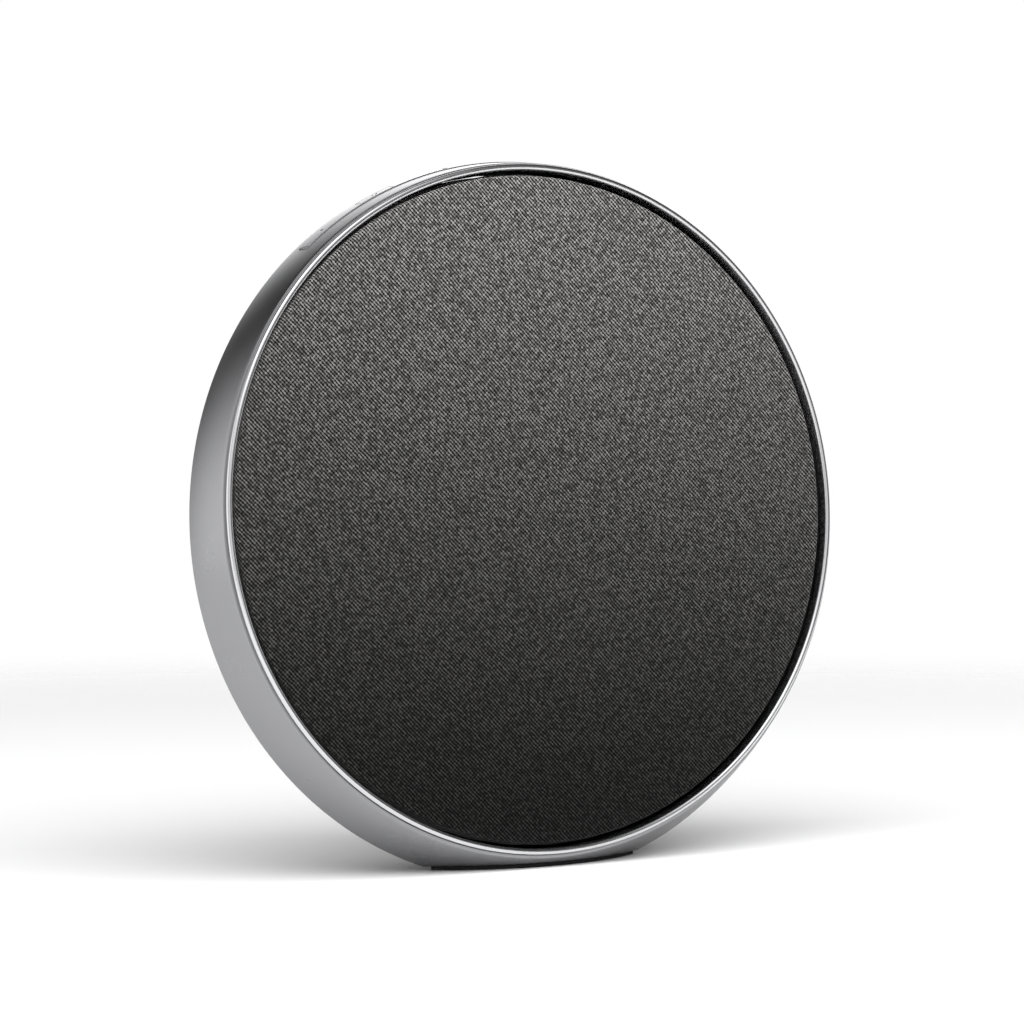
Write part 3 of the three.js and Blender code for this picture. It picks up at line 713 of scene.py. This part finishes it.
def rearCover():
    edge, front, wall = cover["edge"], cover["front"], cover["wall"]
    outline = [(edge, 18.2), (117, 20.5), (112, 27), (104, 34.5), (94, 42), (82, 48.5), (70, 53.3),
               (58, cover["depth"] - 0.1), (50, cover["depth"])]
    inside = [(edge - wall, 18.6), (109.6, 26.2), (92.4, 40), (69, 51.0), (50, cover["depth"] - wall)]
    outer = ([(0.0, front), (edge - 0.3, front), (edge, front + 0.3)] + smoothLine(outline, 5)
             + [(0.0, cover["depth"])])
    hollow = ([(0.0, front - 2), (edge - wall, front - 2)] + smoothLine(inside, 4)
              + [(0.0, cover["depth"] - wall)])
    drop = (0, 0, -disc["bandDrop"])
    made = spin(outer, cover["columns"], closed=False)
    empty = spin(hollow, 120, closed=False)
    for shape in (made, empty):
        bmesh.ops.translate(shape, verts=shape.verts, vec=drop)

    def slab(low, high, yLow, yHigh):  # a big level block of the row frame, by height
        block = bmesh.new()
        bmesh.ops.create_cube(block, size=1)
        bmesh.ops.scale(block, verts=block.verts, vec=(400, yHigh - yLow, high - low))
        bmesh.ops.translate(block, verts=block.verts, vec=(0, (yLow + yHigh) / 2, (low + high) / 2))
        block.transform(leanFrame.inverted())
        return block

    # the heel: an oval column that widens upwards into the dome
    heel = bmesh.new()
    levels = []
    for i in range(13):
        t = i / 12
        half = cover["heelHalf"] + 1.0 + 7.0 * t + 6.0 * t ** 4
        ring = [Vector((half * math.sin(a),
                        centreY + cover["heelCentre"] + cover["heelOval"] * half * math.cos(a),
                        flatHeight - 4 + 40 * t))
                for a in (2 * math.pi * k / 96 for k in range(96))]
        levels.append([heel.verts.new(p) for p in ring])
    for lower, upper in zip(levels, levels[1:]):
        for k in range(96):
            heel.faces.new([lower[k], lower[(k + 1) % 96], upper[(k + 1) % 96], upper[k]])
    heel.faces.new(levels[0])
    heel.faces.new(levels[-1])
    heel.transform(leanFrame.inverted())
    frontCut = bmesh.new()
    bmesh.ops.create_cube(frontCut, size=1)
    bmesh.ops.scale(frontCut, verts=frontCut.verts, vec=(200, 40, 80))
    bmesh.ops.translate(frontCut, verts=frontCut.verts, vec=(0, front + 1 - 20, -110))
    heel = cutWith(heel, [(frontCut, "DIFFERENCE")])

    empty = cutWith(empty, [(slab(-60, flatHeight + wall, -200, 200), "DIFFERENCE")])
    pocketZ, floorDepth = cover["pocketZ"], cover["pocketFloor"]
    tray = prism(roundedBox(-27, 27, pocketZ - 12, pocketZ + 12, 4), floorDepth - 2, floorDepth + 1.2)
    steps = [
        (heel, "UNION"),
        (slab(-60, flatHeight, -200, 200), "DIFFERENCE"),
        (empty, "DIFFERENCE"),
        (slab(-60, flatHeight + band["wall"] + 0.3, -200, centreY + 17.6 - 7.97), "DIFFERENCE"),
        (tray, "UNION"),
        (prism(roundedBox(-24, 24, pocketZ - 10, pocketZ + 10, 3), floorDepth, 90), "DIFFERENCE"),
        (discMesh(cover["radiator"], 40, 90, columns=160), "DIFFERENCE"),
        (discMesh(4.2, 30, 90, -12, pocketZ), "DIFFERENCE"),
        (prism(roundedBox(-0.8, 8.8, pocketZ - 1.95, pocketZ + 1.95, 1.9), 30, 90), "DIFFERENCE"),
        (discMesh(1.8, 30, 90, 16, pocketZ), "DIFFERENCE"),
    ]
    for x, z in screwPlaces:
        steps.append((discMesh(6.5, cover["screwSeat"] - wall, 43.5, x, z, 48), "UNION"))
        steps.append((discMesh(4.5, cover["screwSeat"], 90, x, z, 48), "DIFFERENCE"))
        steps.append((discMesh(1.9, 20, 90, x, z, 32), "DIFFERENCE"))
    return cutWith(made, steps)


settle("rearCover", rearCover(), "black_plastic", "chassis", ["rear_cover"], sharp=30)
print("rear cover ready")


# passive radiator, its surround, and the woofer's surround and spider, each in sectors

radiator = {"frame": (37.5, 46.0, 51.0, 53.5), "roll": (30.4, 37.2, 52.3), "rollWall": 0.5,
            "glued": 28.0, "sectors": 12, "plate": 30.0}

frameInner, frameOuter, frameFront, frameRear = radiator["frame"]
settle("radiatorFrame", spin([(frameInner, frameFront), (frameOuter, frameFront), (frameOuter, frameRear),
                              (frameInner + 0.5, frameRear), (frameInner, frameRear - 0.5)], 200),
       "black_plastic", "chassis", ["radiator_frame"], sharp=35)


def bendingRing(title, profile, place, slotName, node):
    # a ring in sectors, each a closed piece over its own share of the circle, with no body of its own
    depth, height = place
    steps = 15
    half = math.pi / radiator["sectors"]
    for i in range(radiator["sectors"]):
        centre = 2 * half * i
        made = bmesh.new()
        rows = []
        for k in range(steps + 1):
            angle = centre - half + 2 * half * k / steps
            rows.append([made.verts.new((r * math.sin(angle), y, r * math.cos(angle) + height))
                         for r, y in profile])
        for near, far in zip(rows, rows[1:]):
            for j in range(len(profile)):
                k = (j + 1) % len(profile)
                made.faces.new([near[j], near[k], far[k], far[j]])
        made.faces.new(rows[0])
        made.faces.new(rows[-1])
        piece = settle(f"{title}{i + 1}", made, slotName, None, [node], sharp=50)
        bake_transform(piece)


def radiatorSurround():
    inner, outer, base = radiator["roll"]
    middle, reach = (inner + outer) / 2, (outer - inner) / 2
    wall, glued = radiator["rollWall"], radiator["glued"]
    profile = ([(outer, base - 0.7)] + arc((middle, base), reach, 0, 180, 24)
               + [(glued, base), (glued, base - 0.7)]
               + arc((middle, base), reach - wall, 180, 0, 24) + [(outer - wall, base - 0.7)])
    bendingRing("radiatorSurround", profile, (base, 0), "surround_rubber",
                "radiator_surround")


radiatorSurround()

woofer = {"height": -14, "roll": (37.5, 43.4), "rollCentre": (40.45, 9.7), "glued": 35.2, "rim": 45.7,
          "spider": (13.4, 28.4, 23.8), "spiderWaves": 4, "spiderWave": 0.55, "spiderWall": 0.3}


def wooferSurround():
    inner, outer = woofer["roll"]
    middle, depth = woofer["rollCentre"]
    reach = (outer - inner) / 2
    profile = ([(woofer["glued"], depth - 0.5)] + arc((middle, depth - 0.1), reach, 188, 352, 20)
               + [(outer + 0.2, depth + 0.4), (woofer["rim"], depth + 0.4), (woofer["rim"], depth + 1.0),
                  (outer - 0.3, depth + 1.0)]
               + arc((middle, depth + 0.1), reach - 0.6, 352, 188, 20) + [(woofer["glued"], depth + 0.1)])
    bendingRing("wooferSurround", profile, (depth, woofer["height"]), "surround_rubber",
                "woofer_surround")


def wooferSpider():
    # corrugated cloth, glued flat at both rims
    inner, outer, depth = woofer["spider"]
    wall, steps = woofer["spiderWall"], 48
    line = []
    for i in range(steps + 1):
        t = i / steps
        flat = min(1.0, 8 * min(t, 1 - t))
        wave = woofer["spiderWave"] * math.sin(2 * math.pi * woofer["spiderWaves"] * t)
        line.append((inner + (outer - inner) * t, depth + flat * wave))
    profile = [(r, y - wall) for r, y in line] + [(r, y + wall) for r, y in line[::-1]]
    bendingRing("wooferSpider", profile, (depth, woofer["height"]),
                "spider_cloth", "woofer_spider")


wooferSurround()
wooferSpider()


def radiatorPlate():
    radius = radiator["plate"]
    rear = 53.0
    face = [(0.0, 49.0), (radius, 49.0), (radius, 51.2), (27.8, 51.2), (27.8, rear - 0.5)]
    face += arc((27.3, rear - 0.5), 0.5, 0, 90, 4)
    face += [(26.0, rear), (25.6, rear - 0.25), (8.0, rear - 0.6), (0.0, rear - 0.7)]
    return spin(face, 240, "satin_aluminium", closed=False)


settle("radiatorPlate", radiatorPlate(), "satin_aluminium", "radiator_piston", ["radiator_plate"], sharp=35)
print("radiator ready")


# screws, set by one tree on their seats

def makeSetTree():
    tree = bpy.data.node_groups.new("setOnSeats", "GeometryNodeTree")
    face = tree.interface
    face.new_socket(name="Seats", in_out="INPUT", socket_type="NodeSocketGeometry")
    face.new_socket(name="Screw", in_out="INPUT", socket_type="NodeSocketObject")
    face.new_socket(name="Turn", in_out="INPUT", socket_type="NodeSocketFloat")
    face.new_socket(name="Seed", in_out="INPUT", socket_type="NodeSocketInt")
    face.new_socket(name="Material", in_out="INPUT", socket_type="NodeSocketMaterial")
    face.new_socket(name="Mesh", in_out="OUTPUT", socket_type="NodeSocketGeometry")
    entry = addNode(tree, "NodeGroupInput").outputs
    info = addNode(tree, "GeometryNodeObjectInfo", {"Object": entry["Screw"], "As Instance": True})
    angle = addNode(tree, "FunctionNodeRandomValue", {2: 0.0, 3: entry["Turn"], "Seed": entry["Seed"]},
                    data_type="FLOAT")
    turn = addNode(tree, "ShaderNodeCombineXYZ", {"Y": angle.outputs[1]})
    placed = addNode(tree, "GeometryNodeInstanceOnPoints",
                     {"Points": entry["Seats"], "Instance": info.outputs["Geometry"],
                      "Rotation": turn.outputs[0]})
    real = addNode(tree, "GeometryNodeRealizeInstances", {"Geometry": placed.outputs[0]})
    painted = addNode(tree, "GeometryNodeSetMaterial",
                      {"Geometry": real.outputs[0], "Material": entry["Material"]})
    addNode(tree, "NodeGroupOutput", {"Mesh": painted.outputs[0]})
    return tree


setTree = makeSetTree()
screw = {"head": 3.0, "height": 2.0, "shaft": 1.5, "length": 14.0, "slot": 0.55, "reach": 1.7}


def screwMesh():
    head, height = screw["head"], screw["height"]
    profile = ([(0.0, -screw["length"]), (screw["shaft"] * 0.5, -screw["length"]),
                (screw["shaft"], -screw["length"] + 1.0), (screw["shaft"], 0.0),
                (head - 0.1, 0.0), (head, 0.15)]
               + arc((head - 0.9, height - 1.0), 0.9, 0, 60, 5)
               + [(head * 0.45, height - 0.06), (0.0, height)])
    made = spin(profile, 48, "zinc_steel", closed=False)
    cross = []
    for x, z in ((screw["slot"] / 2, screw["reach"]), (screw["reach"], screw["slot"] / 2)):
        cross.append((prism([(-x, -z), (x, -z), (x, z), (-x, z)], height * 0.35, height * 2), "DIFFERENCE"))
    return cutWith(made, cross)


def coverScrews():
    mesh = bpy.data.meshes.new("screwShape")
    shape = screwMesh()
    shape.to_mesh(mesh)
    shape.free()
    sample = bpy.data.objects.new("screwShape", mesh)
    scene.collection.objects.link(sample)
    seats = bpy.data.meshes.new("seats")
    seats.from_pydata([(x, cover["screwSeat"] + 0.3, z) for x, z in screwPlaces], [], [])
    holder = bpy.data.objects.new("coverScrews", seats)
    modifier = holder.modifiers.new("set", "NODES")
    modifier.node_group = setTree
    setInputs(modifier, setTree, {"Screw": sample, "Turn": math.pi, "Seed": 4,
                                  "Material": materials["zinc_steel"]})
    result = takeMesh(holder, "coverScrews")
    bpy.data.objects.remove(sample)
    made = bmesh.new()
    made.from_mesh(result)
    return made


settle("coverScrews", coverScrews(), "zinc_steel", "chassis",
       [f"cover_screw_{i}" for i in (1, 2, 3, 4)], sharp=35)
print("screws ready")


# finish on the CAD nodes that stay

slotOf = {part["node"]: part["material_slot"] for part in frame["record"]["subparts"]}
for nodeName, nodeObject in frame["nodes"].items():
    nodeObject.data.materials.clear()
    nodeObject.data.materials.append(materials[slotOf[nodeName]])


# floor, lights and camera

studio = {"floor": "#F2F2F2", "reach": (0.45, 1.0), "size": 2.4, "ambient": 0.04}


def floor():
    # a matte sweep that fades into the white room behind it
    made = bmesh.new()
    bmesh.ops.create_grid(made, x_segments=1, y_segments=1, size=studio["size"] / 2)
    mesh = bpy.data.meshes.new("floor")
    made.to_mesh(mesh)
    made.free()
    plane = bpy.data.objects.new("floor", mesh)
    scene.collection.objects.link(plane)
    material, tree, shader = newMaterial("matteFloor", studio["floor"], Roughness=0.9)
    place = addNode(tree, "ShaderNodeTexCoord").outputs["Object"]
    away = addNode(tree, "ShaderNodeVectorMath", {0: place}, operation="LENGTH")
    fade = addNode(tree, "ShaderNodeMapRange",
                   {"Value": away.outputs["Value"], "From Min": studio["reach"][0],
                    "From Max": studio["reach"][1], "To Min": 1.0, "To Max": 0.0},
                   interpolation_type="SMOOTHSTEP")
    tree.links.new(fade.outputs["Result"], shader.inputs["Alpha"])
    mesh.materials.append(material)
    plane.visible_diffuse = False
    return plane


floorPlane = floor()


def softbox(name, place, target, size, power, spread=180.0, onlyOn=None, notOn=None):
    light = bpy.data.lights.new(name, "AREA")
    light.shape = "RECTANGLE"
    light.size, light.size_y = size
    light.energy = power
    light.spread = math.radians(spread)
    lamp = bpy.data.objects.new(name, light)
    lamp.location = place
    lamp.rotation_euler = (Vector(target) - Vector(place)).to_track_quat("-Z", "Y").to_euler()
    lamp.visible_glossy = False  # the metal sees the tent instead
    if onlyOn or notOn:
        group = bpy.data.collections.new(name + "Receivers")
        group.objects.link(onlyOn or notOn)
        if notOn:
            group.collection_objects[0].light_linking.link_state = "EXCLUDE"
        lamp.light_linking.receiver_collection = group
    scene.collection.objects.link(lamp)


# the floor has its own lamp, and the cloth lamp misses the floor, so each can be set by itself
softbox("floorLight", (-0.3, -0.75, 1.5), (-0.1, 0, 0), (5.0, 1.4), 82, onlyOn=floorPlane)
softbox("rearLight", (0.2, 0.75, 1.5), (0, 0.05, 0.05), (2.4, 1.0), 6)
softbox("clothLight", (-0.05, -0.55, 0.62), (0, -0.03, 0.27), (0.7, 0.1), 1.15, spread=32, notOn=floorPlane)

lightTent = {
    "radius": 4.0,
    "left": ((-0.97, 0.2, -0.05), 10, 58, 1.4),
    "rightRear": ((0.45, 0.85, 0.28), 4, 52, 2.5),
    "right": ((0.98, 0.15, 0.05), 8, 50, 0.8),
    "front": ((-0.3, -0.9, 0.25), 10, 60, 0.8),
    "top": ((-0.35, -0.45, 0.82), 6, 44, 2.2),
}


def tent():
    # the white tent round the set, as the metal sees it: five wide soft panels on a dim wall
    made = bmesh.new()
    bmesh.ops.create_uvsphere(made, u_segments=48, v_segments=24, radius=lightTent["radius"])
    mesh = bpy.data.meshes.new("lightTent")
    made.to_mesh(mesh)
    made.free()
    dome = bpy.data.objects.new("lightTent", mesh)
    scene.collection.objects.link(dome)
    material = bpy.data.materials.new("tentCloth")
    material.use_nodes = True
    tree = material.node_tree
    tree.nodes.clear()
    place = addNode(tree, "ShaderNodeTexCoord").outputs["Object"]
    direction = addNode(tree, "ShaderNodeVectorMath", {0: place}, operation="NORMALIZE").outputs[0]
    level = studio["ambient"]
    for panel in ("left", "rightRear", "right", "front", "top"):
        aim, inner, outer, strength = lightTent[panel]
        facing = addNode(tree, "ShaderNodeVectorMath",
                         {0: direction, 1: Vector(aim).normalized()}, operation="DOT_PRODUCT")
        angle = addNode(tree, "ShaderNodeMath", {0: facing.outputs["Value"]}, operation="ARCCOSINE")
        lobe = addNode(tree, "ShaderNodeMapRange",
                       {"Value": angle.outputs[0], "From Min": math.radians(inner),
                        "From Max": math.radians(outer), "To Min": strength, "To Max": 0.0},
                       interpolation_type="SMOOTHSTEP")
        level = addNode(tree, "ShaderNodeMath", {0: lobe.outputs["Result"], 1: level},
                        operation="ADD").outputs[0]
    glow = addNode(tree, "ShaderNodeEmission", {"Color": (1, 1, 1, 1), "Strength": level})
    addNode(tree, "ShaderNodeOutputMaterial", {"Surface": glow.outputs[0]})
    mesh.materials.append(material)
    material.cycles.emission_sampling = "NONE"
    dome.visible_camera = False
    dome.visible_diffuse = False
    dome.visible_shadow = False


tent()

world = bpy.data.worlds.new("studio")
scene.world = world
world.use_nodes = True
worldTree = world.node_tree
worldTree.nodes.clear()
ray = addNode(worldTree, "ShaderNodeLightPath")
whiteWall = addNode(worldTree, "ShaderNodeBackground", {"Color": (1, 1, 1, 1), "Strength": 1.0})
dimRoom = addNode(worldTree, "ShaderNodeBackground", {"Color": (1, 1, 1, 1), "Strength": studio["ambient"]})
pick = addNode(worldTree, "ShaderNodeMixShader",
               {0: ray.outputs["Is Camera Ray"], 1: dimRoom.outputs[0], 2: whiteWall.outputs[0]})
addNode(worldTree, "ShaderNodeOutputWorld", {"Surface": pick.outputs[0]})

view = {"azimuth": 28.85, "elevation": 1.48, "distance": 8.44, "aimX": 0.1008, "aimZ": 0.013,
        "lens": 101.95, "unit": 116.0}


def addCamera():
    # stands to the front left, level with the disc, and looks past its centre
    turn, lift, unit = math.radians(view["azimuth"]), math.radians(view["elevation"]), view["unit"]
    back = Vector((-math.sin(turn) * math.cos(lift), -math.cos(turn) * math.cos(lift), math.sin(lift)))
    right = Vector((math.cos(turn), -math.sin(turn), 0))
    up = right.cross(-back)
    centre = leanFrame @ Vector((0, 0, 0))
    place = centre + back * view["distance"] * unit - right * view["aimX"] * unit - up * view["aimZ"] * unit
    lens = bpy.data.cameras.new("camera")
    lens.lens = view["lens"]
    lens.sensor_width = 36
    lens.clip_start, lens.clip_end = 0.05, 50
    camera = bpy.data.objects.new("camera", lens)
    camera.location = place * mm
    camera.rotation_mode = "QUATERNION"
    camera.rotation_quaternion = (-back).to_track_quat("-Z", "Y")
    scene.collection.objects.link(camera)
    scene.camera = camera


addCamera()
scene.view_settings.view_transform = "Standard"
print("studio ready")
